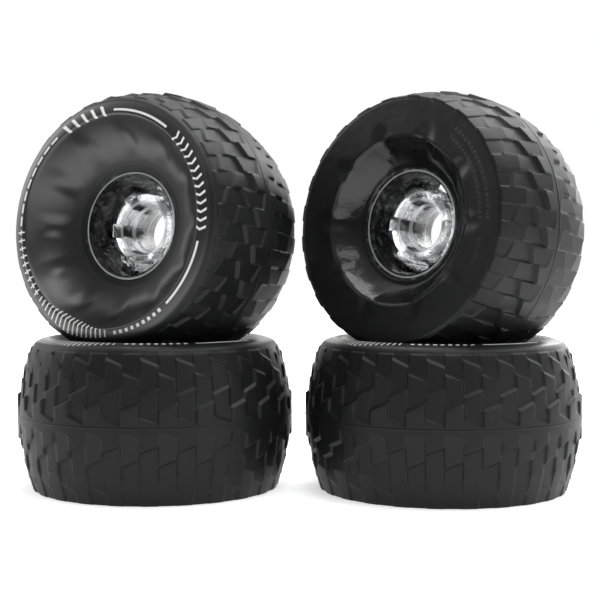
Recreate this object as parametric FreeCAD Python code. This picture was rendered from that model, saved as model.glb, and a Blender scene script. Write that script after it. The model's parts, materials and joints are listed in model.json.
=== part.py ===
import FreeCAD
import Part
import math
import os

# Four all-terrain longboard wheels as they are stacked: two lie flat with the dished
# front face up, and each carries one that stands on its tread in that dish.
# Millimetres, +Z up. The origin is the middle of the set's footprint, on the floor.
# A wheel's own frame has Z along the bore, +Z towards the dished front face, and its
# origin on the bore at the tread's mid-plane.

V = FreeCAD.Vector

# ---- tyre, a soft casting ------------------------------------------------------------
TYRE_RADIUS = 60.0            # 120 mm wheel, at the mid-plane
TYRE_WIDTH = 66.0
REAR_FACE_Z = -32.5           # rear face from the mid-plane
SHOULDER_DROP = 6.4           # how much smaller the barrel is at the rear face
BARREL_POWER = 1.8            # how the barrel falls away to the shoulders
CROWN_DROP = 6.8              # smooth band between the tread and the front face
CROWN_RISE = 3.8
CROWN_FACETS = 6
CROWN_UNDERLAP = 1.0          # how far the crown's band reaches under the tread's end
PRINT_RING_DROP = 9.7         # outside of the flat ring on the front face
PRINT_RING_WIDTH = 4.5
CORE_DROP = 10.0              # body inside the tread columns
DISH_FLOOR_WIDTH = 4.1        # floor of the dish, round the hub's rim
DISH_DEPTH = 15.6             # from the front face down to the dish's floor
DISH_POWER = 2.0              # how the bowl of the dish steepens outwards
DISH_FACETS = 5
RIDGE_END_RUN = 4.0           # blunt inner end of the ridges between the flutes
RIDGE_END_RISE = 2.0
RECESS_FLOOR_WIDTH = 1.8      # floor of the rear recess, round the hub's rim
RECESS_DEPTH = 9.4            # from the rear face down to the recess's floor
RECESS_FLARE = 10.8           # how much wider the recess is at its mouth
RECESS_LIP = 1.8              # bevel of the recess's mouth
RIM_SHOW = 0.2                # how far the hub's rim stands out of the casting

# ---- tread ---------------------------------------------------------------------------
COLUMNS = 48                  # two kinds of column in turn
STEP_PITCH = 11.6             # from one step to the next along a column
STEP_SLANT = 2.9              # rise of a step line across one column
STEP_RUN = 0.9                # length along the bore of a step's bevelled face
TILE_TAPER = 0.5              # share of the barrel's own fall that a tile's top follows
SHORT_TILE = 7.0              # end tiles shorter than this
SHORT_TILE_DROP = 0.5         # lie lower by this
SHORTEST_REAR_TILE = 3.9
SHORTEST_FRONT_TILE = 2.9
COLUMN_ROOT_DROP = 11.0       # the columns start inside the body

# ---- soft lobes on both faces, and the ring of air cells behind them --------------------
FLUTES = 12                   # hollows in the dish
FLUTE_START = -6.5            # angle of the first one
FLUTE_RADIUS = 7.0
FLUTE_DEPTH = 1.6
FLUTE_FLOOR_INSET = 4.0       # a flute's end centres from the dish's floor and rim
FLUTE_RIM_INSET = 7.3
DIMPLES = 10                  # hollows across the mouth of the recess
DIMPLE_BALL = 14.0
DIMPLE_DEPTH = 1.9
DIMPLE_OUTSET = 0.6           # their centres outside the mouth's edge
CELL_CIRCLE = 40.5
CELL_RADIUS = 7.5
CELL_HEIGHT = 15.0
CELL_NECK = 3.6               # half the height and width of the band between the cells
CELL_WALL = 1.0
CELL_CLEARANCE = 0.1          # round the ring, which sits on the rear ends of its cells
CELL_Z = -5.0

# ---- hub core, one clear moulding --------------------------------------------------------
BEARING_RADIUS = 11.0         # seat of a 22 x 7 mm skate bearing
BEARING_WIDTH = 7.0
BEARING_SPACING = 10.0        # between the two seat floors
SEAT_CHAMFER_RUN = 1.2
SEAT_CHAMFER_DEPTH = 0.8
SEAT_LEDGE = 1.5              # the bore between the seats is smaller by this
BOSS_WALL = 4.1
BOSS_FRONT_Z = 8.0
RIM_RADIUS = 23.4
RIM_WALL = 1.5
RIM_FRONT_DROP = 0.6          # rim's ends behind the floors of the dish and the recess
RIM_REAR_DROP = 0.7
SPOKES = 6
SPOKE_WIDTH = 6.0
SPOKE_SETBACK = 1.6           # spoke ends behind the boss's ends
SPOKE_ROOT = 1.5              # how far a spoke reaches into the boss
LUG_SETBACK = 0.4             # lug at each spoke's root, nearly as long as the boss
LUG_REACH = 1.8
LOCK_RIB = 2.4                # rib round the rim that the tyre is cast over
LOCK_RIB_WIDTH = 7.0

# ---- how the four wheels stand ------------------------------------------------------------
STACK_GAP = 2.7               # between the two stacks' widest points, left to right
RIGHT_STACK_FORWARD = 5.5     # how much nearer the right stack is
REST_GAP = 0.4                # between an upper wheel and the dish that carries it
LEFT_YAW = 30.4               # upper wheels: turn of the bore away from -Y, towards -X
LEFT_TILT = 6.5               # and rise of the bore's visible end
LEFT_SHIFT = (-1.0, 3.3)      # bore's middle from the lower wheel's bore, across and back
RIGHT_YAW = 42.5
RIGHT_TILT = 6.8
RIGHT_SHIFT = (-0.2, 4.2)
TYRE_SPIN = {"lower_left": -0.7, "lower_right": 2.5, "upper_left": 7.5, "upper_right": 0.6}
HUB_SPIN = {"lower_left": -0.7, "lower_right": 2.5, "upper_left": 3.5, "upper_right": 4.0}

FRONT_FACE_Z = REAR_FACE_Z + TYRE_WIDTH
TREAD_FRONT_Z = FRONT_FACE_Z - CROWN_RISE
DISH_FLOOR_Z = FRONT_FACE_Z - DISH_DEPTH
RECESS_FLOOR_Z = REAR_FACE_Z + RECESS_DEPTH
RIM_FRONT_Z = DISH_FLOOR_Z - RIM_FRONT_DROP
RIM_REAR_Z = RECESS_FLOOR_Z + RIM_REAR_DROP
BOSS_REAR_Z = BOSS_FRONT_Z - 2 * BEARING_WIDTH - BEARING_SPACING
COLUMN_ROOT_RADIUS = TYRE_RADIUS - COLUMN_ROOT_DROP
CORE_RADIUS = TYRE_RADIUS - CORE_DROP
CROWN_RADIUS = TYRE_RADIUS - CROWN_DROP
PRINT_RING_OUTER = TYRE_RADIUS - PRINT_RING_DROP
PRINT_RING_INNER = PRINT_RING_OUTER - PRINT_RING_WIDTH
DISH_FLOOR_RADIUS = RIM_RADIUS + DISH_FLOOR_WIDTH
RECESS_FLOOR_RADIUS = RIM_RADIUS + RECESS_FLOOR_WIDTH
RECESS_MOUTH_RADIUS = RECESS_FLOOR_RADIUS + RECESS_FLARE
BOSS_RADIUS = BEARING_RADIUS + BOSS_WALL
SPACER_RADIUS = BEARING_RADIUS - SEAT_LEDGE


def barrel_radius(z):
    """Radius of the barrel that the outer ends of the tread tiles touch."""
    share = abs(z) / max(abs(REAR_FACE_Z), TREAD_FRONT_Z)
    return TYRE_RADIUS - SHOULDER_DROP * share ** BARREL_POWER


def revolve(points):
    """Solid of revolution about Z of an outline of (radius, z) points."""
    corners = [V(r, 0, z) for r, z in points]
    face = Part.Face(Part.makePolygon(corners + corners[:1]))
    return face.revolve(V(0, 0, 0), V(0, 0, 1), 360)


def turned(shape, angle):
    """Copy of a shape turned about the bore."""
    copy = shape.copy()
    copy.rotate(V(0, 0, 0), V(0, 0, 1), angle)
    return copy


# ---- tread -------------------------------------------------------------------------------

def step_lines(kind):
    """Places and slants of the step lines along one kind of column, rear to front."""
    offset = STEP_PITCH / 4 if kind == 0 else -STEP_PITCH / 4
    count = int(TREAD_FRONT_Z / STEP_PITCH) + 1
    lines = []
    for k in range(-count, count + 1):
        z = k * STEP_PITCH + offset
        slant = -STEP_SLANT if k % 2 == 0 else STEP_SLANT
        if REAR_FACE_Z + SHORTEST_REAR_TILE < z < TREAD_FRONT_Z - SHORTEST_FRONT_TILE:
            lines.append((z, slant))
    return lines


def tile_top(rear, front):
    """A tile's top between two places along the bore, as its radius at z = 0 and its slope."""
    if rear < 0 < front:
        return TYRE_RADIUS, 0.0
    outer, inner = (rear, front) if front <= 0 else (front, rear)
    edge = barrel_radius(outer)
    slope = (barrel_radius(inner) - edge) / (inner - outer)
    if outer in (REAR_FACE_Z, TREAD_FRONT_Z):
        edge -= SHORT_TILE_DROP if front - rear < SHORT_TILE else 0.0
    else:
        slope *= TILE_TAPER
    return edge - slope * outer, slope


def column_side(kind, side):
    """Outline of a column at its left (-1) or right (1) side, rear to front."""
    lines = step_lines(kind)
    half = math.tan(math.pi / COLUMNS)
    starts = [(REAR_FACE_Z, 0.0, 0.0)] + [(z, STEP_RUN / 2, slant) for z, slant in lines]
    stops = [(z, -STEP_RUN / 2, slant) for z, slant in lines] + [(TREAD_FRONT_Z, 0.0, 0.0)]
    outline = [(COLUMN_ROOT_RADIUS, REAR_FACE_Z)]
    for rear, front in zip(starts, stops):
        base, slope = tile_top(rear[0], front[0])
        for z, offset, slant in (rear, front):
            place = z + offset + side * slant / 2
            outline.append(((base + slope * place) * math.cos(math.pi / COLUMNS), place))
    outline.append((COLUMN_ROOT_RADIUS, TREAD_FRONT_Z))
    return [V(r, side * r * half, z) for r, z in outline]


def tread_column(kind):
    """One column of tread tiles, 360 / COLUMNS degrees wide, as a flat-faced solid."""
    left, right = column_side(kind, -1), column_side(kind, 1)
    rings = [left, right]
    for i in range(len(left)):
        j = (i + 1) % len(left)
        if i % 2 == 0 and 0 < i < len(left) - 2:
            rings += [[left[i], right[i], right[j]], [left[i], right[j], left[j]]]
        else:
            rings.append([left[i], right[i], right[j], left[j]])
    faces = [Part.Face(Part.makePolygon(ring + ring[:1])) for ring in rings]
    solid = Part.makeSolid(Part.makeShell(faces))
    if solid.Volume < 0:
        solid.reverse()
    return solid


def tread_ring():
    """All the columns, fused into one ring."""
    kinds = [tread_column(0), tread_column(1)]
    pitch = 360.0 / COLUMNS
    columns = [turned(kinds[i % 2], (i + 0.5) * pitch) for i in range(COLUMNS)]
    return columns[0].multiFuse(columns[1:])


# ---- hub core ------------------------------------------------------------------------------

def rim_outline(inner):
    """Section of the rim with its lock rib, from an inner radius outwards."""
    middle = (RIM_FRONT_Z + RIM_REAR_Z) / 2
    half = LOCK_RIB_WIDTH / 2
    return [
        (RIM_RADIUS, RIM_REAR_Z),
        (RIM_RADIUS, middle - half),
        (RIM_RADIUS + LOCK_RIB, middle - half + LOCK_RIB / 2),
        (RIM_RADIUS + LOCK_RIB, middle + half - LOCK_RIB / 2),
        (RIM_RADIUS, middle + half),
        (RIM_RADIUS, RIM_FRONT_Z),
        (inner, RIM_FRONT_Z),
        (inner, RIM_REAR_Z),
    ]


def boss():
    """The boss with its two bearing seats and the bore between them."""
    mouth = BEARING_RADIUS + SEAT_CHAMFER_RUN
    front_floor = BOSS_FRONT_Z - BEARING_WIDTH
    rear_floor = BOSS_REAR_Z + BEARING_WIDTH
    return revolve([
        (mouth, BOSS_FRONT_Z),
        (BEARING_RADIUS, BOSS_FRONT_Z - SEAT_CHAMFER_DEPTH),
        (BEARING_RADIUS, front_floor),
        (SPACER_RADIUS, front_floor),
        (SPACER_RADIUS, rear_floor),
        (BEARING_RADIUS, rear_floor),
        (BEARING_RADIUS, BOSS_REAR_Z + SEAT_CHAMFER_DEPTH),
        (mouth, BOSS_REAR_Z),
        (BOSS_RADIUS, BOSS_REAR_Z),
        (BOSS_RADIUS, BOSS_FRONT_Z),
    ])


def arm(reach, setback):
    """Block that stands out of the boss to a radius, set back from the boss's two ends."""
    start = BOSS_RADIUS - SPOKE_ROOT
    length = BOSS_FRONT_Z - BOSS_REAR_Z - 2 * setback
    corner = V(start, -SPOKE_WIDTH / 2, BOSS_REAR_Z + setback)
    return Part.makeBox(reach - start, SPOKE_WIDTH, length, corner)


def hub_core():
    """Boss, six spokes with a lug at each root, and rim, moulded in one piece."""
    inner = RIM_RADIUS - RIM_WALL
    rim = revolve(rim_outline(inner))
    spoke = arm(inner + RIM_WALL / 2, SPOKE_SETBACK).fuse(arm(BOSS_RADIUS + LUG_REACH, LUG_SETBACK))
    spokes = [turned(spoke, 360.0 / SPOKES * i) for i in range(SPOKES)]
    return boss().multiFuse([rim] + spokes).removeSplitter()


# ---- ring of air cells ------------------------------------------------------------------------

def cell_beads(grow, rear_grow):
    """Upright cells on the cell circle, one between each two flutes, joined by a band."""
    half = CELL_NECK + grow
    inner, outer = CELL_CIRCLE - half, CELL_CIRCLE + half
    low, high = CELL_Z - half, CELL_Z + half
    band = revolve([(inner, low), (outer, low), (outer, high), (inner, high)])
    height = CELL_HEIGHT + grow + rear_grow
    foot = V(CELL_CIRCLE, 0, CELL_Z - CELL_HEIGHT / 2 - rear_grow)
    cell = Part.makeCylinder(CELL_RADIUS + grow, height, foot)
    pitch = 360.0 / FLUTES
    cells = [turned(cell, FLUTE_START + pitch * (i + 0.5)) for i in range(FLUTES)]
    return band.multiFuse(cells)


def air_ring():
    """The soft ring of sealed air cells, and the room that the tyre leaves for it."""
    ring = cell_beads(0.0, 0.0).cut(cell_beads(-CELL_WALL, -CELL_WALL))
    return cell_beads(CELL_CLEARANCE, 0.0), ring


# ---- tyre --------------------------------------------------------------------------------------

def dish_outline():
    """(radius, z) down the bowl of the dish, from the print ring to the floor."""
    ridge_radius = DISH_FLOOR_RADIUS + RIDGE_END_RUN
    run = PRINT_RING_INNER - ridge_radius
    ridge_z = DISH_FLOOR_Z + RIDGE_END_RISE
    rise = DISH_DEPTH - RIDGE_END_RISE
    shares = [1.0 - i / DISH_FACETS for i in range(DISH_FACETS + 1)]
    bowl = [(ridge_radius + s * run, ridge_z + rise * s ** DISH_POWER) for s in shares]
    return bowl + [(DISH_FLOOR_RADIUS, DISH_FLOOR_Z)]


def crown_outline():
    """(radius, z) up the rounded crown, from the tread to the print ring."""
    rise = FRONT_FACE_Z - TREAD_FRONT_Z
    run = CROWN_RADIUS - PRINT_RING_OUTER
    angles = [math.pi / 2 * i / CROWN_FACETS for i in range(CROWN_FACETS + 1)]
    return [(PRINT_RING_OUTER + run * math.cos(a), TREAD_FRONT_Z + rise * math.sin(a))
            for a in angles]


def body_outline():
    """Section of the tyre's body inside the tread: crown, print ring, dish and recess."""
    crown_root = TREAD_FRONT_Z - CROWN_UNDERLAP
    inside = RIM_RADIUS - RIM_WALL
    rim_front = RIM_FRONT_Z - RIM_SHOW
    rim_rear = RIM_REAR_Z + RIM_SHOW
    foot = [(CORE_RADIUS, REAR_FACE_Z), (CORE_RADIUS, crown_root), (CROWN_RADIUS, crown_root)]
    seat = [(RIM_RADIUS, rim_front), (inside, rim_front), (inside, rim_rear), (RIM_RADIUS, rim_rear)]
    recess = [
        (RECESS_FLOOR_RADIUS, RECESS_FLOOR_Z),
        (RECESS_MOUTH_RADIUS - RECESS_LIP, REAR_FACE_Z + RECESS_LIP),
        (RECESS_MOUTH_RADIUS, REAR_FACE_Z),
    ]
    return foot + crown_outline() + dish_outline() + seat + recess


def flutes():
    """Tools that press the soft hollows into the dish."""
    reach = (DISH_FLOOR_RADIUS + FLUTE_FLOOR_INSET, PRINT_RING_INNER - FLUTE_RIM_INSET)
    ends = [V(radius, 0, dish_z(radius)) for radius in reach]
    along = ends[1] - ends[0]
    lift = (FLUTE_RADIUS - FLUTE_DEPTH) * along.Length / along.x
    ends = [end + V(0, 0, lift) for end in ends]
    bar = Part.makeCylinder(FLUTE_RADIUS, along.Length, ends[0], along)
    tool = bar.multiFuse([Part.makeSphere(FLUTE_RADIUS, end) for end in ends])
    return [turned(tool, FLUTE_START + 360.0 / FLUTES * i) for i in range(FLUTES)]


def dimples():
    """Tools that press the shallow dimples into the rear face."""
    circle = RECESS_MOUTH_RADIUS + DIMPLE_OUTSET
    centre = V(circle, 0, REAR_FACE_Z - DIMPLE_BALL + DIMPLE_DEPTH)
    ball = Part.makeSphere(DIMPLE_BALL, centre)
    return [turned(ball, 360.0 / DIMPLES * i) for i in range(DIMPLES)]


def tyre(cells):
    """The casting: body and tread, cast round the hub's rim and the ring of air cells."""
    blank = revolve(body_outline()).cut(flutes() + dimples())
    rim = revolve(rim_outline(RIM_RADIUS - 2 * RIM_WALL))
    return blank.cut([rim, cells]).fuse(tread_ring())


# ---- how the wheels stand -----------------------------------------------------------------------

def standing(yaw, tilt, front_visible):
    """Turn of a standing wheel: its visible end faces -Y, turned towards -X and tilted up."""
    face = V(0, 0, 1) if front_visible else V(0, 0, -1)
    rise, turn = math.radians(tilt), math.radians(yaw)
    aim = V(-math.sin(turn) * math.cos(rise), -math.cos(turn) * math.cos(rise), math.sin(rise))
    side = V(0, 0, 1).cross(aim)
    side.normalize()
    lying = FreeCAD.Rotation(V(1, 0, 0), V(0, 0, 1), face, "ZXY")
    stand = FreeCAD.Rotation(side, V(0, 0, 1), aim, "ZXY")
    return stand.multiply(lying.inverted())


def outside_points(spin):
    """Points all over the outside of a wheel, along its columns' tops and round its crown."""
    shares = [i / 10 for i in range(10)]
    pitch = 360.0 / COLUMNS
    points = []
    for i in range(COLUMNS):
        about = FreeCAD.Rotation(V(0, 0, 1), (i + 0.5) * pitch + spin)
        left, right = column_side(i % 2, -1), column_side(i % 2, 1)
        for across in shares:
            edge = [about.multVec(a + (b - a) * across) for a, b in zip(left, right)]
            points += [p + (q - p) * along for p, q in zip(edge, edge[1:]) for along in shares]
    for r, z in crown_outline():
        points += [V(r * math.cos(math.radians(a)), r * math.sin(math.radians(a)), z) for a in range(360)]
    return points


def dish_z(radius):
    """Height of the front surface at a radius, without the flutes."""
    points = dish_outline()
    if radius >= points[0][0]:
        return FRONT_FACE_Z
    for (outer, high), (inner, low) in zip(points, points[1:]):
        if radius >= inner:
            return low + (high - low) * (radius - inner) / (outer - inner)
    return DISH_FLOOR_Z


def rest_height(turn, shift, spin):
    """Height of a standing wheel's middle when it rests in the dish with REST_GAP to spare."""
    lift = 0.0
    for place in outside_points(spin):
        point = turn.multVec(place)
        out = math.hypot(point.x + shift[0], point.y + shift[1])
        if point.z < 0 and out < PRINT_RING_OUTER:
            lift = max(lift, dish_z(out) - REAR_FACE_Z + REST_GAP - point.z)
    return lift


def wheel_poses():
    """Middle and turn of each wheel from its own stack's bore, on the floor."""
    flat = FreeCAD.Rotation()
    low = V(0, 0, -REAR_FACE_Z)
    poses = {"lower_left": (low, flat), "lower_right": (low, flat)}
    uppers = (
        ("upper_left", standing(LEFT_YAW, LEFT_TILT, True), LEFT_SHIFT),
        ("upper_right", standing(RIGHT_YAW, RIGHT_TILT, False), RIGHT_SHIFT),
    )
    for name, turn, shift in uppers:
        height = rest_height(turn, shift, TYRE_SPIN[name])
        poses[name] = (V(shift[0], shift[1], height), turn)
    return poses


def placed(shape, middle, turn, spin):
    """Copy of a wheel's piece in its place, spun about the bore."""
    copy = shape.copy()
    spun = turn.multiply(FreeCAD.Rotation(V(0, 0, 1), spin))
    copy.Placement = FreeCAD.Placement(middle, spun)
    return copy


def stack_places(cast, poses):
    """Where each stack's bore stands, with the set's footprint centred on the origin."""
    boxes = {}
    for stack in ("left", "right"):
        box = FreeCAD.BoundBox()
        for wheel, (middle, turn) in poses.items():
            if wheel.endswith(stack):
                box.add(placed(cast, middle, turn, TYRE_SPIN[wheel]).BoundBox)
        boxes[stack] = box
    spacing = boxes["left"].XMax + STACK_GAP - boxes["right"].XMin
    places = {"left": V(0, 0, 0), "right": V(spacing, -RIGHT_STACK_FORWARD, 0)}
    whole = FreeCAD.BoundBox(boxes["left"])
    boxes["right"].move(places["right"])
    whole.add(boxes["right"])
    print("overall", round(whole.XLength, 2), round(whole.YLength, 2), round(whole.ZLength, 2))
    return {stack: place - V(whole.Center.x, whole.Center.y, 0) for stack, place in places.items()}


def build():
    """Make each kind of piece once and place a copy of it in every wheel."""
    core = hub_core()
    cells, insert = air_ring()
    cast = tyre(cells)
    print("tyre", len(cast.Solids), "solid", round(cast.Volume), "mm3, valid", cast.isValid())
    poses = wheel_poses()
    stacks = stack_places(cast, poses)
    for wheel, (middle, turn) in poses.items():
        middle = middle + stacks[wheel.split("_")[1]]
        bore = turn.multVec(V(0, 0, 1))
        print(wheel, "middle", [round(c, 8) for c in middle], "bore", [round(c, 14) for c in bore])
        for piece, shape, spins in (
            ("tyre", cast, TYRE_SPIN),
            ("air_ring", insert, TYRE_SPIN),
            ("hub_core", core, HUB_SPIN),
        ):
            copy = placed(shape, middle, turn, spins[wheel])
            copy.exportStep("parts/" + wheel + "_" + piece + ".step")


os.makedirs("parts", exist_ok=True)
build()
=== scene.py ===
import bmesh
import bpy
import json
import math
import numpy as np
from mathutils import Matrix, Vector


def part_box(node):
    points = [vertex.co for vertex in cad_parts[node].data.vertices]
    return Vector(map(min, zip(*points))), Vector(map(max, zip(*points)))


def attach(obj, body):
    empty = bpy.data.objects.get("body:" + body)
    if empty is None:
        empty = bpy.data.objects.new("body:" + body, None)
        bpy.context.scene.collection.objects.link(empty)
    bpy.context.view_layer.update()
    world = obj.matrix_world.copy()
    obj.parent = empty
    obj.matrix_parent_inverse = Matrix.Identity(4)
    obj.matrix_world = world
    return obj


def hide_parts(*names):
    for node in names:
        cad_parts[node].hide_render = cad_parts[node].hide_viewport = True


# Looks for a stacked set of four all-terrain longboard wheels, in metres.
# A wheel's own sizes are in millimetres, with z along its bore and the dished face at +z.
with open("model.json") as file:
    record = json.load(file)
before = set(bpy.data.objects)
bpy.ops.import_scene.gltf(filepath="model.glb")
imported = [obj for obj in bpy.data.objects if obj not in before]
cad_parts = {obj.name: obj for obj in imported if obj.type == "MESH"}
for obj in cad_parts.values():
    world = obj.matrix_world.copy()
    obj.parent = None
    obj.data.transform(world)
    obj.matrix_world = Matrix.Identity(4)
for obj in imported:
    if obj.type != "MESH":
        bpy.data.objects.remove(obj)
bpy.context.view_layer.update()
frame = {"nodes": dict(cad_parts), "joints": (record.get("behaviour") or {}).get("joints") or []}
millimetre = 0.001
joints = {joint["name"]: joint for joint in frame["joints"]}
print("frame loaded:", len(frame["nodes"]), "nodes")


# a node's output that takes part in sums the way a number does
class Wire:
    def __init__(self, sheet, socket):
        self.sheet = sheet
        self.socket = socket

    def maths(self, operation, *others, clamp=False):
        settings = {"operation": operation, "use_clamp": clamp}
        return self.sheet.node("ShaderNodeMath", settings, dict(enumerate((self,) + others)))

    def out(self, name):
        return Wire(self.sheet, self.socket.node.outputs[name])

    def __add__(self, other):
        return self.maths("ADD", other)

    def __sub__(self, other):
        return self.maths("SUBTRACT", other)

    def __rsub__(self, other):
        return self.sheet.node("ShaderNodeMath", {"operation": "SUBTRACT"}, {0: other, 1: self})

    def __mul__(self, other):
        return self.maths("MULTIPLY", other)

    def __truediv__(self, other):
        return self.maths("DIVIDE", other)

    def __rtruediv__(self, other):
        return self.sheet.node("ShaderNodeMath", {"operation": "DIVIDE"}, {0: other, 1: self})

    def __abs__(self):
        return self.maths("ABSOLUTE")

    __radd__ = __add__
    __rmul__ = __mul__


# the nodes of one material, world or geometry tree
class Sheet:
    def __init__(self, tree):
        self.tree = tree
        tree.nodes.clear()

    def node(self, kind, settings=None, sockets=None):
        # settings go first, because some of them change which sockets a node has
        made = self.tree.nodes.new(kind)
        for name, value in (settings or {}).items():
            setattr(made, name, value)
        for name, value in (sockets or {}).items():
            for one in value if isinstance(value, list) else [value]:
                self.feed(made.inputs[name], one)
        return Wire(self, made.outputs[0]) if made.outputs else made

    def feed(self, socket, value):
        if isinstance(value, Wire):
            self.tree.links.new(value.socket, socket)
        else:
            socket.default_value = value


def newMaterial(name):
    material = bpy.data.materials.new(name)
    material.use_nodes = True
    return material, Sheet(material.node_tree)


def clamped(wire):
    return wire.maths("ADD", 0.0, clamp=True)


def eased(wire, low, high):
    return wire.sheet.node("ShaderNodeMapRange", {"interpolation_type": "SMOOTHSTEP"}, {
        "Value": wire, "From Min": low, "From Max": high})


def within(wire, low, high, soft):
    # 1 between the two values, with soft edges
    middle, half = (low + high) / 2, (high - low) / 2
    return clamped((half - abs(wire - middle)) / soft + 0.5)


def zone(z, radius, parts):
    # 1 in some parts of a wheel's section
    return sum(within(z, *along) * within(radius, *out) for along, out in parts)


def noise(sheet, place, kind):
    scale, detail, rough = kind
    return sheet.node("ShaderNodeTexNoise", {}, {
        "Vector": place, "Scale": scale, "Detail": detail, "Roughness": rough})


def mixedColour(sheet, share, first, second):
    # the node's colour sockets come after those for numbers and vectors
    return sheet.node("ShaderNodeMix", {"data_type": "RGBA"}, {0: share, 6: first, 7: second}).out(2)


def castPlace(sheet):
    # a point's place on the casting in millimetres: the vector, its parts and its radius
    place = sheet.node("ShaderNodeAttribute", {"attribute_name": "castPoint"}).out("Vector")
    parts = sheet.node("ShaderNodeSeparateXYZ", {}, {0: place})
    x, y, z = parts.out("X"), parts.out("Y"), parts.out("Z")
    return place, x, y, z, (x * x + y * y).maths("SQRT")


# the cast rubber of the tyres
rubber = {
    "dark": (0.0055, 0.0056, 0.006, 1.0),
    "worn": (0.0095, 0.0097, 0.0102, 1.0),
    "shadedSeat": (0.002, 0.002, 0.002, 1.0),    # round the clear core: nearly black, a painted shade under the clear rim
    "hiddenFlow": (0.15, 0.15, 0.155, 1.0),  # flow marks there, seen through its rim
    "ink": (0.84, 0.84, 0.83, 1.0),
    "cloud": (0.11, 3.0, 0.55),      # noises: scale, detail and roughness
    "fine": (2.6, 3.0, 0.6),
    "flow": (0.24, 2.0, 0.65),
    "flowContrast": (7.0, 3.6),      # gain and drop
    "grime": (1.3, 0.25, 0.25),      # share of the cloud, share of the fine noise, and drop
    "treadRoughness": 0.46,
    "treadIor": 1.33,
    "faceRoughness": 0.33,
    "faceIor": 1.5,
    "recessRoughness": 0.2,
    "hiddenRougher": 0.4,
    "inkRougher": 0.1,
    "mottle": (0.10, 0.06),          # how far the cloud and the fine noise change the roughness
    "dishCoat": 0.65,
    "coatRoughness": 0.36,
    "ripple": 0.05,                  # heights of the cloud, all over and more on the rear side
    "rearRipple": 0.35,
    "grain": 0.012,                  # height of the fine noise
    "reliefStrength": 0.6,
}
rubberZones = {
    # each part: from, to and softness along the bore, then the same out from it
    "printRing": [((30.9, 34.2, 0.2), (44.0, 52.6, 0.4))],
    # where the rubber under the clear rim is painted darker, as shade
    "shadedSeat": [((-22.6, 17.2, 0.3), (20.0, 26.2, 0.3))],
    "recess": [((-31.6, 0.0, 0.5), (20.0, 36.0, 0.5))],
    "faces": [((16.0, 35.0, 0.5), (20.0, 51.5, 1.0)), ((-34.0, -31.0, 0.4), (20.0, 52.0, 1.0))],
    "dish": [((16.0, 35.0, 0.5), (26.5, 51.5, 1.0))],
    "rearSide": [((-34.0, 0.0, 0.5), (20.0, 52.0, 1.0))],
}
# generic marks printed on the ring of the dished face; turns are degrees from, to and pitch
marks = {
    "radius": 47.6,
    "soft": 0.12,
    "lineHalf": 0.5,
    "arcTurns": ((54.6, 90.6), (314.0, 349.5)),
    "dashTurns": (129.6, 183.0, 6.8),
    "dash": (-2.822, 1.411),         # from and to, from the middle of its pitch
    "chevronTurns": (-6.0, 49.0, 4.23),
    "wrapAt": 300.0,                 # turns past this count as below zero, for that row
    "chevronBend": (0.55, 0.7),      # slope of its arms, and shift along the ring
    "chevronHalf": (0.52, 2.4),      # half sizes along the ring and across it
    "barTurns": (94.5, 125.4, 6.18),
    "barSlope": 0.5,
    "barHalf": (0.8, 2.3),
    "crossTurns": (183.6, 222.6, 4.33),
    "uprightHalf": (0.34, 1.9),
    "levelHalf": (1.2, 0.34),
    "tickTurns": (223.5, 274.5, 3.0),
    "tickHalf": 0.36,
    "tickReach": (3.9, 2.6),         # in the middle of the row, and how much less at its ends
    "squareTurns": (277.5, 310.5, 3.67),
    "squareHalf": (0.75, 0.75),
}
# small raised bars on the flat rear face
rearMarks = {
    "start": 306.0,
    "pitch": 2.9,
    "bar": (0.2, 0.62, 0.1),         # raised part of each pitch, and its softness
    "rows": ((42.0, 43.6, 306.0, 359.5), (46.0, 47.6, 306.0, 359.5), (43.6, 44.9, 10.0, 25.0)),
    "soft": 0.3,
    "faceZ": (-34.0, -31.8, 0.2),
    "height": 0.24,
}


def printMask(radius, turn):
    # lines, dashes and rows of small shapes
    soft = marks["soft"]
    perDegree = math.radians(marks["radius"])
    out = radius - marks["radius"]

    def block(along, across, half):
        return within(along, -half[0], half[0], soft) * within(across, -half[1], half[1], soft)

    def row(name, angle=turn):
        # distance along the ring from the middle of the nearest shape, and where the row is
        low, high, pitch = marks[name]
        share = ((angle - low) / pitch).maths("FRACT")
        return (share - 0.5) * (pitch * perDegree), within(angle, low, high, soft)

    line = within(out, -marks["lineHalf"], marks["lineHalf"], soft)
    arcs = sum(within(turn, start, stop, soft) for start, stop in marks["arcTurns"])
    along, inside = row("dashTurns")
    shown = clamped(arcs + within(along, *marks["dash"], soft) * inside) * line

    along, inside = row("chevronTurns", turn - 360.0 * turn.maths("GREATER_THAN", marks["wrapAt"]))
    slope, shift = marks["chevronBend"]
    shown = shown + block(along - abs(out) * slope + shift, out, marks["chevronHalf"]) * inside

    along, inside = row("barTurns")
    shown = shown + block(along - out * marks["barSlope"], out, marks["barHalf"]) * inside

    along, inside = row("crossTurns")
    cross = block(along, out, marks["uprightHalf"]) + block(along, out, marks["levelHalf"])
    shown = shown + clamped(cross) * inside

    along, inside = row("tickTurns")
    low, high, pitch = marks["tickTurns"]
    longest, less = marks["tickReach"]
    reach = longest - abs(turn - (low + high) / 2) * (less / ((high - low) / 2))
    tick = within(along, -marks["tickHalf"], marks["tickHalf"], soft)
    shown = shown + tick * inside * clamped((reach - abs(out)) / soft + 0.5)

    along, inside = row("squareTurns")
    return clamped(shown + block(along, out, marks["squareHalf"]) * inside)


def rearMarkMask(z, radius, turn):
    soft = rearMarks["soft"]
    share = ((turn - rearMarks["start"]) / rearMarks["pitch"]).maths("FRACT")
    rows = sum(within(radius, low, high, soft) * within(turn, start, stop, soft)
               for low, high, start, stop in rearMarks["rows"])
    return within(share, *rearMarks["bar"]) * rows * within(z, *rearMarks["faceZ"])


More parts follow.
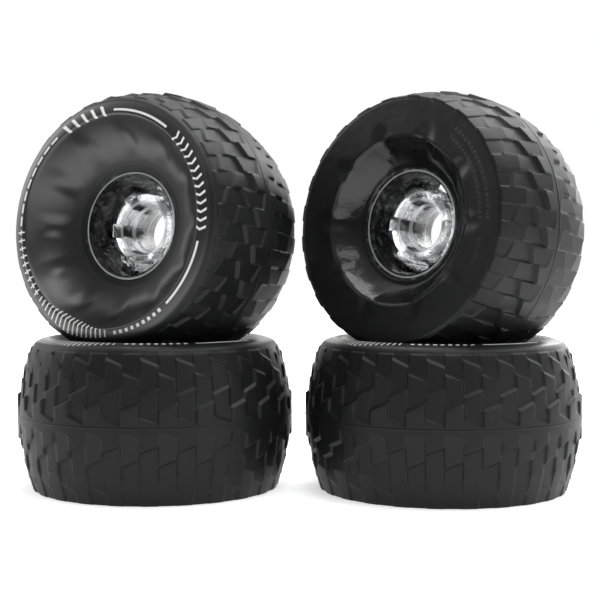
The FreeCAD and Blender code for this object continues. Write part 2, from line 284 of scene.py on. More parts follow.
def rubberMaterial():
    material, sheet = newMaterial("castRubber")
    place, x, y, z, radius = castPlace(sheet)
    degrees = y.maths("ARCTAN2", x) * (180 / math.pi)
    turn = degrees + 360.0 * degrees.maths("LESS_THAN", 0.0)
    shadedSeat, recess, faces, dishPart, rearSide, ring = (
        zone(z, radius, rubberZones[name])
        for name in ("shadedSeat", "recess", "faces", "dish", "rearSide", "printRing"))

    ink = printMask(radius, turn) * ring
    cloud = noise(sheet, place, rubber["cloud"])
    fine = noise(sheet, place, rubber["fine"])
    cloudShare, fineShare, drop = rubber["grime"]
    grime = clamped(cloud * cloudShare - drop + fine * fineShare)
    colour = mixedColour(sheet, grime, rubber["dark"], rubber["worn"])
    gain, drop = rubber["flowContrast"]
    flowMarks = clamped(noise(sheet, place, rubber["flow"]) * gain - drop)
    # round the clear core the colour is nearly black, a painted shade under the clear rim, with pale flow
    # marks on it
    seatShadeAndFlow = mixedColour(sheet, flowMarks, rubber["shadedSeat"], rubber["hiddenFlow"])
    colour = mixedColour(sheet, shadedSeat, colour, seatShadeAndFlow)
    colour = mixedColour(sheet, ink, colour, rubber["ink"])

    mottle = (cloud - 0.5) * rubber["mottle"][0] + (fine - 0.5) * rubber["mottle"][1]
    smooth = rubber["faceRoughness"] + recess * (rubber["recessRoughness"] - rubber["faceRoughness"])
    smooth = smooth + mottle + ink * rubber["inkRougher"]
    rough = rubber["treadRoughness"] + mottle + shadedSeat * rubber["hiddenRougher"]
    ripple = rubber["ripple"] + (rearSide + recess) * rubber["rearRipple"]
    height = rearMarkMask(z, radius, turn) * rearMarks["height"] + fine * rubber["grain"] + cloud * ripple
    relief = sheet.node("ShaderNodeBump", {}, {
        "Height": height, "Strength": rubber["reliefStrength"], "Distance": millimetre})

    dull = sheet.node("ShaderNodeBsdfPrincipled", {}, {
        "Base Color": colour, "Roughness": rough, "Normal": relief, "IOR": rubber["treadIor"]})
    glossy = sheet.node("ShaderNodeBsdfPrincipled", {}, {
        "Base Color": colour, "Roughness": smooth, "Normal": relief, "IOR": rubber["faceIor"],
        "Coat Weight": dishPart * rubber["dishCoat"], "Coat Roughness": rubber["coatRoughness"]})
    shader = sheet.node("ShaderNodeMixShader", {}, {0: clamped(faces + recess - shadedSeat), 1: dull, 2: glossy})
    sheet.node("ShaderNodeOutputMaterial", {}, {"Surface": shader})
    return material


# the soft ring of air cells, a duller rubber
cell = {
    "dark": (0.09, 0.09, 0.095, 1.0),
    "pale": (0.15, 0.15, 0.155, 1.0),
    "speck": (420.0, 3.0, 0.6),
    "roughness": (0.5, 0.2),         # least, and how much the specks add
    "reliefStrength": 0.2,
}


def cellMaterial():
    material, sheet = newMaterial("cellRubber")
    speck = noise(sheet, sheet.node("ShaderNodeTexCoord").out("Object"), cell["speck"])
    colour = mixedColour(sheet, speck, cell["dark"], cell["pale"])
    relief = sheet.node("ShaderNodeBump", {}, {
        "Height": speck, "Strength": cell["reliefStrength"], "Distance": millimetre})
    least, more = cell["roughness"]
    shader = sheet.node("ShaderNodeBsdfPrincipled", {}, {
        "Base Color": colour, "Roughness": least + speck * more, "Normal": relief})
    sheet.node("ShaderNodeOutputMaterial", {}, {"Surface": shader})
    return material


# the clear moulding: flow marks in the thick walls, a cloudy bore and pale edges
clear = {
    "thick": (0.50, 0.51, 0.52, 1.0),
    "thin": (0.86, 0.87, 0.88, 1.0),
    "frost": (0.90, 0.91, 0.92, 1.0),
    "boreFrost": 0.05,       # how cloudy the bore's walls are
    "streakFrost": 0.30,     # and the streaks drawn along it
    "rimFrost": 0.65,        # pale edges of the rim
    "edgeFrost": 0.55,       # and of the ledges and the mouths
    "faceFrost": 0.3,        # mottled ends of the boss
    "faceContrast": (2.4, 0.7),
    "flow": (0.09, 2.0, 0.5),
    "haze": (0.7, 2.0, 0.5),
    "streaks": (1.6, 2.0, 0.6),
    "speck": (0.9, 3.0, 0.6),
    "wave": (0.45, 2.0, 0.6),
    "streakStretch": 0.12,   # how much slower the streaks change along the bore
    "heights": (0.6, 0.15, 1.3),     # of the streaks, the haze and the waves outside the bore
    "reliefStrength": 0.35,
    "ior": 1.5,
    "roughness": (0.01, 0.03),
    "frostRoughness": 0.4,
    "frostTransmission": 0.35,
}
clearZones = {
    "bore": [((-16.0, 8.0, 0.1), (8.6, 11.4, 0.15))],
    "rim": [((16.3, 18.0, 0.15), (22.6, 24.4, 0.2)), ((-23.0, -21.4, 0.15), (22.6, 24.4, 0.2))],
    "edges": [((0.5, 1.4, 0.15), (9.3, 11.0, 0.15)), ((-9.4, -8.5, 0.15), (9.3, 11.0, 0.15)),
              ((7.4, 8.4, 0.15), (11.1, 12.3, 0.15)), ((-16.4, -15.4, 0.15), (11.1, 12.3, 0.15))],
    "ends": [((6.0, 8.4, 0.15), (12.4, 18.0, 0.15)), ((-16.4, -14.0, 0.15), (12.4, 18.0, 0.15))],
}


def clearMaterial():
    material, sheet = newMaterial("clearCore")
    place, x, y, z, radius = castPlace(sheet)
    flow, haze, speck, wave = (noise(sheet, place, clear[name]) for name in ("flow", "haze", "speck", "wave"))
    drawn = sheet.node("ShaderNodeCombineXYZ", {}, {0: x, 1: y, 2: z * clear["streakStretch"]})
    streaks = noise(sheet, drawn, clear["streaks"])
    bore, rim, edges, ends = (zone(z, radius, clearZones[name]) for name in ("bore", "rim", "edges", "ends"))
    gain, drop = clear["faceContrast"]
    cloudy = bore * (clear["boreFrost"] + (streaks - 0.5) * clear["streakFrost"])
    cloudy = cloudy + rim * clear["rimFrost"] + edges * clear["edgeFrost"]
    cloudy = clamped(cloudy + ends * (speck * gain - drop) * clear["faceFrost"])
    colour = mixedColour(sheet, flow, clear["thick"], clear["thin"])
    streakHeight, hazeHeight, waveHeight = clear["heights"]
    height = flow + streaks * bore * streakHeight + haze * hazeHeight + wave * (1.0 - bore) * waveHeight
    relief = sheet.node("ShaderNodeBump", {}, {
        "Height": height, "Strength": clear["reliefStrength"], "Distance": millimetre})
    least, more = clear["roughness"]
    glass = sheet.node("ShaderNodeBsdfPrincipled", {}, {
        "Base Color": colour, "Roughness": least + haze * more, "Normal": relief,
        "IOR": clear["ior"], "Transmission Weight": 1.0})
    frosted = sheet.node("ShaderNodeBsdfPrincipled", {}, {
        "Base Color": clear["frost"], "Roughness": clear["frostRoughness"], "Normal": relief,
        "IOR": clear["ior"], "Transmission Weight": clear["frostTransmission"]})
    shader = sheet.node("ShaderNodeMixShader", {}, {0: cloudy, 1: glass, 2: frosted})
    sheet.node("ShaderNodeOutputMaterial", {}, {"Surface": shader})
    return material


castRubber = rubberMaterial()
cellRubber = cellMaterial()
clearCore = clearMaterial()
print("materials made")


# the cast tyre: its tread
ringStep = 1.5               # degrees between the points of the plain rings and of both faces
stripNames = ("treadPairs", "frontLobes", "rearLobes")
tread = {
    "columns": 48,
    "places": (-0.5, -0.485, -0.468, -0.45, -0.3, -0.1, 0.1, 0.3, 0.45, 0.468, 0.485),  # across a column
    "wallFrom": 0.45,        # where a column's side begins to fall away, in column widths
    "stepPitch": 11.6,
    "stepShift": 0.25,       # how far each kind of column is moved along, in pitches
    "stepSlant": 2.9,
    "mostSteps": 3,          # each way from the middle
    "stepShape": ((-0.88, 0.0), (-0.78, 0.0), (-0.56, 0.06), (-0.32, 0.24),
                  (0.32, 0.76), (0.56, 0.94), (0.78, 1.0), (0.88, 1.0)),
    "justPast": 0.01,        # how far from a step its two tiles are looked up
    "rearEnd": -32.5,
    "frontEnd": 29.7,
    "plainEnds": (3.9, 2.9),     # no step is nearer to the rear end or the front end
    "radius": 60.0,
    "shoulderDrop": 6.4,
    "barrelPower": 1.8,
    "taper": 0.5,            # share of the barrel's fall that a tile follows
    "middleTile": 3.5,       # a rear tile that ends this near the middle follows it wholly
    "shortTile": 7.0,
    "shortDrop": 0.5,
    "frontDrop": 0.55,       # how the last tiles sink towards the crown
    "crownSlope": 0.3,
    "frontShape": ((28.95, 0.0), (29.25, 0.1), (29.5, 0.45), (29.75, 0.85), (30.0, 1.0)),
    "rearShape": ((-32.05, 0.0), (-32.3, 0.1), (-32.5, 0.35)),   # rounding of the rear edge
    "seam": ((-0.5, 0.0), (-0.4, 0.0), (-0.15, 0.16), (0.15, 0.16), (0.4, 0.0), (0.5, 0.0)),  # parting line
    "rearRing": 51.5,
    "turnSlack": 0.001,      # degrees
    "weldGap": 0.00002,      # metres
    "smoothAngle": 50,
}
# its dished face
dish = {
    "crown": ((53.15, 30.0), (52.9, 30.5), (52.5, 31.0), (51.95, 31.5), (51.2, 32.0), (50.3, 32.4),
              (49.3, 32.75), (48.2, 33.05), (47.3, 33.22)),
    "rowSpans": ((46.7, 44.4, 6), (43.7, 28.0, 24)),     # radii from and to, and how many
    "ringInner": 45.8,
    "faceZ": 33.5,
    "ringFall": 0.19,        # the print ring leans outwards
    "ringBlend": 1.3,
    "floorRadius": 27.5,
    "floorZ": 17.9,
    "lip": (25.4, 17.5),     # radius and z, between the floor and the clear rim
    "rise": (3.0, 12.6, 2.4),    # even part, steepening part and its power
    "fluteStart": -6.5,
    "firstStep": -14,        # where one lobe of the face begins, in ring steps
    "flutes": 12,
    "fluteHalfWidth": 5.8,
    "fluteDepth": 1.25,
    "fluteReach": (29.5, 39.0, 39.5, 45.4),
}
# its flat rear face and the recess in it
recess = {
    "plainRadii": (48.0, 45.0),
    "rowSpans": ((44.6, 37.6, 13), (37.2, 33.2, 11), (32.6, 25.8, 11)),
    "mouthRadius": 36.0,
    "floorRadius": 25.2,
    "floorZ": -23.1,
    "dimples": 10,
    "firstStep": -12,
    "dimpleCircle": 36.6,
    "dimpleHalf": (8.2, 6.0),    # out from the bore, and across
    "dimpleDepth": 0.9,
    "blend": 1.6,
    "bow": 1.55,
}
# where it grips the clear core's rim
seat = {"radius": 23.4, "frontZ": 17.1, "rearZ": -22.2, "rib": 2.4, "ribMiddle": -2.55, "ribHalf": 3.5}


def barrelRadius(z):
    return tread["radius"] - tread["shoulderDrop"] * abs(z / tread["rearEnd"]) ** tread["barrelPower"]


def stepLines(kind):
    # z and slant of every step in one kind of column
    offset = tread["stepPitch"] * (tread["stepShift"] if kind == 0 else -tread["stepShift"])
    rearGap, frontGap = tread["plainEnds"]
    lines = []
    for k in range(-tread["mostSteps"], tread["mostSteps"] + 1):
        z = k * tread["stepPitch"] + offset
        if tread["rearEnd"] + rearGap < z < tread["frontEnd"] - frontGap:
            lines.append((z, tread["stepSlant"] * (-1 if k % 2 == 0 else 1)))
    return lines


def tileTop(rear, front):
    # a tile's top as its radius at z = 0 and its slope along the bore
    if rear < 0 < front:
        return tread["radius"], 0.0
    outer, inner = (rear, front) if front <= 0 else (front, rear)
    edge = barrelRadius(outer)
    slope = (barrelRadius(inner) - edge) / (inner - outer)
    if outer in (tread["rearEnd"], tread["frontEnd"]):
        edge -= tread["shortDrop"] if front - rear < tread["shortTile"] else 0.0
        edge -= tread["frontDrop"] if outer == tread["frontEnd"] else 0.0
    elif front > 0 or inner < -tread["middleTile"]:
        slope *= tread["taper"]
    return edge - slope * outer, slope


def tileAt(kind, z):
    steps = [place for place, slant in stepLines(kind)]
    ends = [tread["rearEnd"] - 1] + steps + [tread["frontEnd"] + 1]
    for rear, front in zip(ends, ends[1:]):
        if rear <= z <= front:
            return tileTop(max(rear, tread["rearEnd"]), min(front, tread["frontEnd"]))


def treadRows():
    # every row as (z, slant across a column of the first kind, rise, sink, both kinds' tiles and blend)
    def bothTiles(z):
        return [(tileAt(kind, z), tileAt(kind, z), 0.0) for kind in (0, 1)]

    rows = []
    beside = tread["justPast"]
    for kind in (0, 1):
        for z, slant in stepLines(kind):
            for off, blend in tread["stepShape"]:
                mixes = bothTiles(z)
                mixes[kind] = (tileAt(kind, z - beside), tileAt(kind, z + beside), blend)
                rows.append((z + off, slant if kind == 0 else -slant, 0.0, 0.0, mixes))
    level = [(z, rise, 0.0) for z, rise in tread["seam"]]
    level += [(z, 0.0, sink) for z, sink in tread["frontShape"]]
    level += [(z, -drop, 0.0) for z, drop in tread["rearShape"]]
    rows += [(z, 0.0, rise, sink, bothTiles(z)) for z, rise, sink in level]
    return sorted(rows, key=lambda row: row[0])


# collects points by place, so that faces which meet share them
class Skin:
    def __init__(self):
        self.points = []
        self.known = {}
        self.faces = []
        self.strips = []

    def point(self, turn, radius, z):
        key = (round(turn, 3), round(radius, 3), round(z, 3))
        if key not in self.known:
            self.known[key] = len(self.points)
            angle = math.radians(turn)
            self.points.append((radius * math.cos(angle), radius * math.sin(angle), z))
        return self.known[key]

    def face(self, corners, strip):
        # a corner that comes twice is left out
        ring = list(dict.fromkeys(corners))
        if len(ring) > 2:
            self.faces.append(ring)
            self.strips.append(stripNames.index(strip))


def treadPoint(kind, share, row):
    # radius and z of the tread's surface, with soft sides between the two kinds of column
    z, slant, rise, sink, mixes = row
    place = z + slant * (share if kind == 0 else -share)
    radii = []
    for (lowBase, lowSlope), (highBase, highSlope), blend in mixes:
        low, high = lowBase + lowSlope * place, highBase + highSlope * place
        radii.append(low + (high - low) * blend)
    edge = max(abs(share) - tread["wallFrom"], 0.0) / (1.0 - 2 * tread["wallFrom"])
    other = edge * edge * (3 - 2 * edge)
    radius = radii[kind] + (radii[1 - kind] - radii[kind]) * other
    crownRadius, crownZ = dish["crown"][0]
    crown = crownRadius + (crownZ - place) * tread["crownSlope"]
    return radius + (crown - radius) * sink + rise, place


def addTread(skin):
    # one pair of columns; the second kind's steps slant the other way
    pitch = 360.0 / tread["columns"]
    places = [(kind, share) for kind in (0, 1) for share in tread["places"]] + [(1, 0.5)]
    turns = [(kind + share + 0.5) * pitch for kind, share in places]
    grid = []
    for row in treadRows():
        grid.append([skin.point(turn, *treadPoint(*place, row)) for turn, place in zip(turns, places)])
    for low, high in zip(grid, grid[1:]):
        for i in range(len(turns) - 1):
            skin.face([low[i], low[i + 1], high[i + 1], high[i]], "treadPairs")
    # the plain rings inside both ends
    slack = tread["turnSlack"]
    for edge, radius, z in ((grid[0], tread["rearRing"], tread["rearEnd"]), (grid[-1],) + dish["crown"][1]):
        for step in range(round(2 * pitch / ringStep)):
            start, end = step * ringStep, (step + 1) * ringStep
            between = [point for point, turn in zip(edge, turns) if start - slack <= turn <= end + slack]
            skin.face([skin.point(start, radius, z)] + between + [skin.point(end, radius, z)], "treadPairs")


def softly(first, second, blend, sign):
    # smooth lower (sign 1) or upper (sign -1) envelope of two heights
    near = max(blend - abs(first - second), 0.0) / blend
    return sign * (min(sign * first, sign * second) - near * near * blend / 4)


def fadeIn(value, low, high):
    share = min(max((value - low) / (high - low), 0.0), 1.0)
    return share * share * (3 - 2 * share)


def angleOff(turn, start, count):
    # angle from the nearest of some evenly spaced shapes
    pitch = 360.0 / count
    return math.radians((turn - start + pitch / 2) % pitch - pitch / 2)


def dishZ(radius, turn):
    # the leaning print ring, the bowl, and the soft flutes pressed into it
    ring = dish["faceZ"] - dish["ringFall"] * (radius - dish["ringInner"])
    share = (radius - dish["floorRadius"]) / (dish["ringInner"] - dish["floorRadius"])
    even, steep, power = dish["rise"]
    crest = dish["floorZ"] + even * share + steep * share ** power
    off = angleOff(turn, dish["fluteStart"], dish["flutes"])
    across = min(abs(radius * math.sin(off)) / dish["fluteHalfWidth"], 1.0)
    start, full, fading, end = dish["fluteReach"]
    along = fadeIn(radius, start, full) * (1 - fadeIn(radius, fading, end))
    return softly(ring, crest - dish["fluteDepth"] * along * (1 - across ** 2) ** 2, dish["ringBlend"], 1)


def rearZ(radius, turn):
    # the flat face, the bowed wall of the recess, and the soft hollows across its mouth
    share = max(radius - recess["floorRadius"], 0.0) / (recess["mouthRadius"] - recess["floorRadius"])
    wall = recess["floorZ"] + (tread["rearEnd"] - recess["floorZ"]) * share ** recess["bow"]
    level = softly(tread["rearEnd"], wall, recess["blend"], -1)
    off = angleOff(turn, 0.0, recess["dimples"])
    halfOut, halfAcross = recess["dimpleHalf"]
    out = (radius * math.cos(off) - recess["dimpleCircle"]) / halfOut
    across = radius * math.sin(off) / halfAcross
    return level + recess["dimpleDepth"] * max(1.0 - (out ** 2 + across ** 2), 0.0) ** 2


def shapedRows(spans):
    # rows without a z take it from the shape of their face
    return [(radius, None) for span in spans for radius in np.linspace(*span)]


def ribOutline(radius):
    # the rib round the clear rim, from the rear
    middle, half, rib = seat["ribMiddle"], seat["ribHalf"], seat["rib"]
    return [(radius, middle - half), (radius + rib, middle - half + rib / 2),
            (radius + rib, middle + half - rib / 2), (radius, middle + half)]


def addSector(skin, rows, firstStep, lobes, strip, height):
    # a grid of rows round one lobe
    def corner(step, row):
        radius, z = row
        turn = step * ringStep
        return skin.point(turn, radius, height(radius, turn) if z is None else z)

    steps = round(360 / lobes / ringStep)
    for outer, inner in zip(rows, rows[1:]):
        for step in range(firstStep, firstStep + steps):
            skin.face([corner(step, outer), corner(step + 1, outer),
                       corner(step + 1, inner), corner(step, inner)], strip)


def addFaces(skin):
    front = list(dish["crown"][1:]) + shapedRows(dish["rowSpans"])
    front += [(dish["floorRadius"], dish["floorZ"]), dish["lip"], (seat["radius"], seat["frontZ"])]
    front += ribOutline(seat["radius"])[::-1] + [(seat["radius"], seat["rearZ"])]
    addSector(skin, front, dish["firstStep"], dish["flutes"], "frontLobes", dishZ)
    rear = [(radius, tread["rearEnd"]) for radius in (tread["rearRing"],) + recess["plainRadii"]]
    rear += shapedRows(recess["rowSpans"])
    rear += [(recess["floorRadius"], recess["floorZ"]), (seat["radius"], seat["rearZ"])]
    addSector(skin, rear, recess["firstStep"], recess["dimples"], "rearLobes", rearZ)


def newTree(name, counts, sizes):
    # a geometry tree, its sheet, and where its inputs are
    tree = bpy.data.node_groups.new(name, "GeometryNodeTree")
    kinds = [("Geometry", "NodeSocketGeometry")] + [(one, "NodeSocketInt") for one in counts]
    kinds += [(one, "NodeSocketFloat") for one in sizes] + [("finish", "NodeSocketMaterial")]
    places = {}
    for one, kind in kinds:
        places[one] = tree.interface.new_socket(name=one, in_out="INPUT", socket_type=kind).identifier
    tree.interface.new_socket(name="Geometry", in_out="OUTPUT", socket_type="NodeSocketGeometry")
    return tree, Sheet(tree), places


def turnedCopies(sheet, part, count):
    # copies of a part, set evenly round the bore
    angle = sheet.node("GeometryNodeInputIndex") * (2 * math.pi / count)
    turn = sheet.node("FunctionNodeAxisAngleToRotation", {}, {"Axis": (0.0, 0.0, 1.0), "Angle": angle})
    points = sheet.node("GeometryNodePoints", {}, {"Count": count})
    return sheet.node("GeometryNodeInstanceOnPoints", {}, {
        "Points": points, "Instance": part, "Rotation": turn})


def tyreTree():
    # repeats the three strips round the bore and welds them into one casting
    tree, sheet, places = newTree("castTyre", stripNames, ["weldGap"])
    given = sheet.node("NodeGroupInput")
    strip = sheet.node("GeometryNodeInputNamedAttribute", {"data_type": "INT"}, {"Name": "strip"})
    rings = []
    for number, name in enumerate(stripNames):
        chosen = strip.maths("COMPARE", number, 0.5)
        part = sheet.node("GeometryNodeSeparateGeometry", {"domain": "FACE"}, {
            "Geometry": given.out("Geometry"), "Selection": chosen})
        rings.append(turnedCopies(sheet, part, given.out(name)))
    joined = sheet.node("GeometryNodeJoinGeometry", {}, {"Geometry": rings})
    real = sheet.node("GeometryNodeRealizeInstances", {}, {"Geometry": joined})
    welded = sheet.node("GeometryNodeMergeByDistance", {}, {
        "Geometry": real, "Distance": given.out("weldGap")})
    done = sheet.node("GeometryNodeSetMaterial", {}, {"Geometry": welded, "Material": given.out("finish")})
    sheet.node("NodeGroupOutput", {}, {"Geometry": done})
    return tree, places


def reshaped(mesh, name, kind, settings, inputs=None):
    # the plain mesh that a modifier makes of a mesh
    holder = bpy.data.objects.new(name, mesh)
    bpy.context.scene.collection.objects.link(holder)
    modifier = holder.modifiers.new(name, kind)
    for key, value in settings.items():
        setattr(modifier, key, value)
    for key, value in (inputs or {}).items():
        modifier[key] = value
    bpy.context.view_layer.update()
    graph = bpy.context.evaluated_depsgraph_get()
    made = bpy.data.meshes.new_from_object(
        holder.evaluated_get(graph), preserve_all_data_layers=True, depsgraph=graph)
    made.name = name
    bpy.data.objects.remove(holder)
    bpy.data.meshes.remove(mesh)
    return made


def grown(mesh, name, growing, values):
    # runs a geometry tree on a mesh
    tree, places = growing
    return reshaped(mesh, name, "NODES", {"node_group": tree}, {places[key]: values[key] for key in values})


def facedOut(mesh):
    # turns the faces outwards, and counts the edges that don't join two faces
    work = bmesh.new()
    work.from_mesh(mesh)
    bmesh.ops.recalc_face_normals(work, faces=work.faces)
    if work.calc_volume(signed=True) < 0:
        bmesh.ops.reverse_faces(work, faces=work.faces)
    loose = sum(1 for edge in work.edges if len(edge.link_faces) != 2)
    work.to_mesh(mesh)
    volume = abs(work.calc_volume())
    work.free()
    return loose, volume


def report(label, mesh):
    loose, volume = facedOut(mesh)
    print(label + ":", len(mesh.polygons), "faces,", loose, "open edges,", round(volume * 1e9), "mm3")


def smoothed(mesh, degrees):
    # shades smooth, apart from the edges sharper than this
    mesh.polygons.foreach_set("use_smooth", [True] * len(mesh.polygons))
    mesh.set_sharp_from_angle(angle=math.radians(degrees))
    return mesh


def makeTyre():
    skin = Skin()
    addTread(skin)
    addFaces(skin)
    mesh = bpy.data.meshes.new("tyreStrips")
    mesh.from_pydata([tuple(c * millimetre for c in point) for point in skin.points], [], skin.faces)
    mesh.attributes.new("strip", "INT", "FACE").data.foreach_set("value", skin.strips)
    mesh = grown(mesh, "castTyre", tyreTree(), {
        "treadPairs": tread["columns"] // 2, "frontLobes": dish["flutes"], "rearLobes": recess["dimples"],
        "weldGap": tread["weldGap"], "finish": castRubber})
    report("tyre", mesh)
    return smoothed(mesh, tread["smoothAngle"])


# the clear hub core: boss, bearing seats, spokes with lugs, and rim
core = {
    "bossRadius": 15.1,
    "bossFront": 8.0,
    "bossRear": -16.0,
    "bearingRadius": 11.0,
    "bearingDepth": 7.0,
    "mouthWiden": 1.2,
    "mouthDepth": 0.8,
    "ledge": 1.5,
    "rimRadius": 23.44,      # a shade into the tyre, as it is cast on
    "rimInner": 21.9,
    "rimFront": 17.3,
    "rimRear": -22.4,
    "turningSteps": 120,
    "spokes": 6,
    "spokeWidth": 6.0,
    "spokeFrom": 13.6,
    "spokeTo": 22.6,
    "spokeSetback": 1.6,
    "lugTo": 16.9,
    "lugSetback": 0.4,
    "weldGap": 0.000005,     # metres
    "edgeRound": 0.3,
    "edgeSegments": 2,
    "edgeAngle": 40,         # edges sharper than this are rounded, as a mould does
    "smoothAngle": 38,
}


def coreOutlines():
    mouth = core["bearingRadius"] + core["mouthWiden"]
    bearing, spacer = core["bearingRadius"], core["bearingRadius"] - core["ledge"]
    front, rear, depth = core["bossFront"], core["bossRear"], core["bearingDepth"]
    boss = [(mouth, front), (bearing, front - core["mouthDepth"]), (bearing, front - depth),
            (spacer, front - depth), (spacer, rear + depth), (bearing, rear + depth),
            (bearing, rear + core["mouthDepth"]), (mouth, rear),
            (core["bossRadius"], rear), (core["bossRadius"], front)]
    out, inner = core["rimRadius"], core["rimInner"]
    rim = [(out, core["rimRear"])] + ribOutline(out)
    rim += [(out, core["rimFront"]), (inner, core["rimFront"]), (inner, core["rimRear"])]
    return [boss, rim]


def lathed(outlines, name):
    # closed outlines of (radius, z) turned about the bore
    steps = core["turningSteps"]
    points, faces = [], []
    for outline in outlines:
        first = len(points)
        count = len(outline)
        for step in range(steps):
            angle = 2 * math.pi * step / steps
            for radius, z in outline:
                place = (radius * math.cos(angle), radius * math.sin(angle), z)
                points.append(tuple(c * millimetre for c in place))
        for step in range(steps):
            here, there = first + step * count, first + (step + 1) % steps * count
            for i in range(count):
                j = (i + 1) % count
                faces.append((here + i, there + i, there + j, here + j))
    mesh = bpy.data.meshes.new(name)
    mesh.from_pydata(points, [], faces)
    facedOut(mesh)
    return mesh


def coreTree():
    # adds the spokes and their lugs to the boss and the rim, as one moulding
    tree, sheet, places = newTree("clearCore", ["spokes"], [
        "spokeWidth", "spokeFrom", "spokeTo", "spokeLow", "spokeHigh", "lugTo", "lugLow", "lugHigh"])
    given = sheet.node("NodeGroupInput")
    blocks = [given.out("Geometry")]
    for part in ("spoke", "lug"):
        start, end = given.out("spokeFrom"), given.out(part + "To")
        foot, head = given.out(part + "Low"), given.out(part + "High")
        size = sheet.node("ShaderNodeCombineXYZ", {}, {
            0: end - start, 1: given.out("spokeWidth"), 2: head - foot})
        middle = sheet.node("ShaderNodeCombineXYZ", {}, {0: (end + start) * 0.5, 2: (head + foot) * 0.5})
        block = sheet.node("GeometryNodeMeshCube", {}, {"Size": size})
        block = sheet.node("GeometryNodeTransform", {}, {"Geometry": block, "Translation": middle})
        ring = turnedCopies(sheet, block, given.out("spokes"))
        blocks.append(sheet.node("GeometryNodeRealizeInstances", {}, {"Geometry": ring}))
    union = sheet.node("GeometryNodeMeshBoolean", {"operation": "UNION", "solver": "EXACT"}, {
        "Mesh 2": blocks})
    real = sheet.node("GeometryNodeRealizeInstances", {}, {"Geometry": union})
    done = sheet.node("GeometryNodeSetMaterial", {}, {"Geometry": real, "Material": given.out("finish")})
    sheet.node("NodeGroupOutput", {}, {"Geometry": done})
    return tree, places


def makeCore():
    sizes = {name: core[name] for name in ("spokeWidth", "spokeFrom", "spokeTo", "lugTo")}
    for part in ("spoke", "lug"):
        sizes[part + "Low"] = core["bossRear"] + core[part + "Setback"]
        sizes[part + "High"] = core["bossFront"] - core[part + "Setback"]
    values = {name: size * millimetre for name, size in sizes.items()}
    mesh = lathed(coreOutlines(), "coreTurnings")
    mesh = grown(mesh, "clearCore", coreTree(), {**values, "spokes": core["spokes"], "finish": clearCore})
    work = bmesh.new()
    work.from_mesh(mesh)
    bmesh.ops.remove_doubles(work, verts=work.verts, dist=core["weldGap"])
    work.to_mesh(mesh)
    work.free()
    report("core", mesh)
    mesh = reshaped(mesh, "clearCore", "BEVEL", {
        "width": core["edgeRound"] * millimetre, "segments": core["edgeSegments"],
        "limit_method": "ANGLE", "angle_limit": math.radians(core["edgeAngle"]),
        "use_clamp_overlap": True})
    return smoothed(mesh, core["smoothAngle"])


# the four wheels; turns are in degrees about their own bores
wheels = {
    "upper_left": {"showsFront": True, "tyreTurn": 7.5, "coreTurn": 3.5, "printTurn": 0.0},
    "upper_right": {"showsFront": False, "tyreTurn": 0.6, "coreTurn": 4.0, "printTurn": 0.0},
    "lower_left": {"showsFront": True, "tyreTurn": -0.7, "coreTurn": -0.7, "printTurn": -18.0},
    "lower_right": {"showsFront": True, "tyreTurn": 2.5, "coreTurn": 2.5, "printTurn": -30.0},
}


def wheelPlacement(name):
    # an upper wheel stands about its hinge, and a lower one lies on the floor
    joint = joints.get(name + "_spin")
    if joint:
        middle, bore = Vector(joint["pos_m"]), Vector(joint["axis"]).normalized()
        across = Vector((0.0, 0.0, 1.0)).cross(bore).normalized()
        across = across if wheels[name]["showsFront"] else -across
    else:
        low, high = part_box(name + "_hub_core")
        middle = Vector(((low.x + high.x) / 2, (low.y + high.y) / 2, -tread["rearEnd"] * millimetre))
        bore, across = Vector((0.0, 0.0, 1.0)), Vector((1.0, 0.0, 0.0))
    up = bore.cross(across)
    turned = Matrix((across, up, bore)).transposed().to_4x4()
    return Matrix.Translation(middle) @ turned


def spin(degrees):
    return Matrix.Rotation(math.radians(degrees), 4, "Z")


def putPiece(mesh, name, body, node):
    piece = bpy.data.objects.new(name, mesh)
    bpy.context.scene.collection.objects.link(piece)
    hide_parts(node)
    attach(piece, body)


def addCastPoints(mesh, degrees):
    # each point's place on the casting in millimetres, so that the marks turn with the wheel
    points = np.empty(len(mesh.vertices) * 3, np.float32)
    mesh.vertices.foreach_get("co", points)
    points = points.reshape(-1, 3) / millimetre
    angle = math.radians(degrees)
    x = points[:, 0] * math.cos(angle) - points[:, 1] * math.sin(angle)
    y = points[:, 0] * math.sin(angle) + points[:, 1] * math.cos(angle)
    placed = np.stack([x, y, points[:, 2]], 1).astype(np.float32)
    mesh.attributes.new("castPoint", "FLOAT_VECTOR", "POINT").data.foreach_set("vector", placed.ravel())


tyreMesh = makeTyre()
coreMesh = makeCore()
for name, wheel in wheels.items():
    placement = wheelPlacement(name)
    label = "".join(word.capitalize() if i else word for i, word in enumerate(name.split("_")))
    tyre = tyreMesh.copy()
    addCastPoints(tyre, wheel["tyreTurn"] - wheel["printTurn"])
    tyre.transform(placement @ spin(wheel["tyreTurn"]))
    putPiece(tyre, label + "Tyre", name + "_wheel", name + "_tyre")
    hub = coreMesh.copy()
    addCastPoints(hub, 0.0)
    hub.transform(placement @ spin(wheel["coreTurn"]))
    putPiece(hub, label + "Core", name + "_wheel", name + "_hub_core")
    # the air ring is shown as it is in the CAD
    cells = frame["nodes"][name + "_air_ring"]
    cells.data.materials.clear()
    cells.data.materials.append(cellRubber)
bpy.data.meshes.remove(tyreMesh)
bpy.data.meshes.remove(coreMesh)
print("wheels placed")


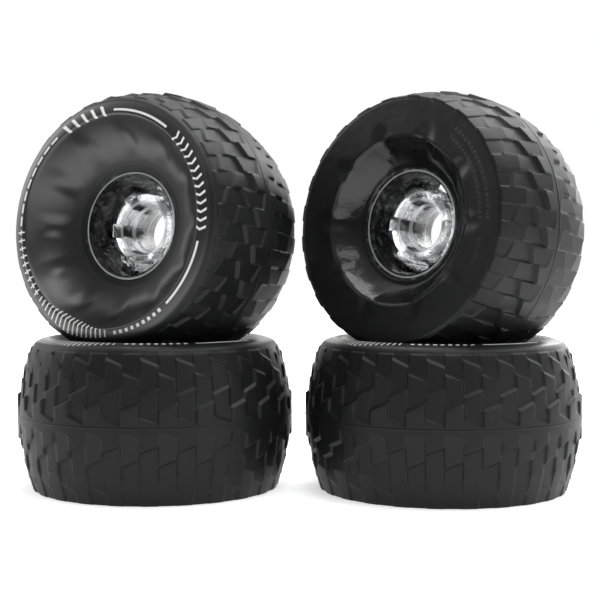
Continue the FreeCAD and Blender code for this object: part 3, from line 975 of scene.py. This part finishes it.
# the floor, the light and the camera
white = (1.0, 1.0, 1.0, 1.0)
studio = {
    "floorColour": (0.86, 0.86, 0.86, 1.0),
    "floorGlow": 0.55,
    "floorSize": 6.0,
    "floorLevel": -0.0001,
    "front": 0.03,           # brightness of the surroundings in front, behind and above
    "back": 1.6,
    "top": 0.5,
    "backFade": (-0.3, 0.75),
    "topFade": (0.0, 1.0),
    "glassShade": 0.74,      # how much darker the clear cores see it
}
lamps = (
    # name, place, what it points at, size, watts
    ("topSoftbox", (0.3, 0.2, 1.2), (0.0, 0.0, 0.09), 1.1, 16.0),
    ("frontSoftbox", (0.15, -0.6, 0.9), (0.15, -0.5, 0.0), 0.5, 2.0),
    ("leftSoftbox", (-1.3, 0.55, 0.75), (0.0, 0.0, 0.09), 0.9, 3.5),
    ("rightSoftbox", (1.1, -0.8, 0.4), (0.0, 0.0, 0.09), 0.6, 2.0),
    ("backSoftbox", (0.9, 1.0, 0.6), (0.0, 0.0, 0.09), 0.9, 9.0),
)
camera = {
    "place": (0.00192, -0.60727, 0.10437),
    "down": 2.117,           # degrees below level
    "lens": 83.05,
    "sensor": 36.0,
    "nearest": 0.01,
}


def makeFloor():
    half = studio["floorSize"] / 2
    corners = [(x * half, y * half, studio["floorLevel"]) for x, y in ((-1, -1), (1, -1), (1, 1), (-1, 1))]
    mesh = bpy.data.meshes.new("floor")
    mesh.from_pydata(corners, [], [(0, 1, 2, 3)])
    floor = bpy.data.objects.new("floor", mesh)
    bpy.context.scene.collection.objects.link(floor)
    material, sheet = newMaterial("paleFloor")
    plain = sheet.node("ShaderNodeBsdfDiffuse", {}, {"Color": studio["floorColour"]})
    glow = sheet.node("ShaderNodeEmission", {}, {"Color": white, "Strength": studio["floorGlow"]})
    bright = sheet.node("ShaderNodeAddShader", {}, {0: plain, 1: glow})
    rays = sheet.node("ShaderNodeLightPath")
    shown = clamped(rays.out("Is Camera Ray") + rays.out("Is Glossy Ray"))
    shader = sheet.node("ShaderNodeMixShader", {}, {0: shown, 1: plain, 2: bright})
    sheet.node("ShaderNodeOutputMaterial", {}, {"Surface": shader})
    mesh.materials.append(material)


def makeWorld():
    world = bpy.data.worlds.new("studio")
    bpy.context.scene.world = world
    world.use_nodes = True
    sheet = Sheet(world.node_tree)
    place = sheet.node("ShaderNodeTexCoord").out("Generated")
    direction = sheet.node("ShaderNodeSeparateXYZ", {}, {0: place})
    behind = eased(direction.out("Y"), *studio["backFade"])
    above = eased(direction.out("Z"), *studio["topFade"])
    level = clamped(studio["front"] + behind * (studio["back"] - studio["front"]) + above * studio["top"])
    rays = sheet.node("ShaderNodeLightPath")
    level = level * (1.0 - rays.out("Is Transmission Ray") * studio["glassShade"])
    strength = level + rays.out("Is Camera Ray") * (1.0 - level)
    background = sheet.node("ShaderNodeBackground", {}, {"Color": white, "Strength": strength})
    sheet.node("ShaderNodeOutputWorld", {}, {"Surface": background})


def makeLamps():
    for name, place, aim, size, watts in lamps:
        lamp = bpy.data.lights.new(name, "AREA")
        lamp.shape = "SQUARE"
        lamp.size = size
        lamp.energy = watts
        holder = bpy.data.objects.new(name, lamp)
        holder.location = place
        holder.visible_camera = False
        holder.rotation_euler = (Vector(aim) - Vector(place)).to_track_quat("-Z", "Y").to_euler()
        bpy.context.scene.collection.objects.link(holder)


def makeCamera():
    data = bpy.data.cameras.new("camera")
    data.sensor_width = camera["sensor"]
    data.lens = camera["lens"]
    data.clip_start = camera["nearest"]
    holder = bpy.data.objects.new("camera", data)
    holder.location = camera["place"]
    holder.rotation_euler = (math.radians(90.0 - camera["down"]), 0.0, 0.0)
    bpy.context.scene.collection.objects.link(holder)
    bpy.context.scene.camera = holder


makeFloor()
makeWorld()
makeLamps()
makeCamera()
bpy.context.scene.view_settings.view_transform = "Standard"
print("floor, light and camera set")
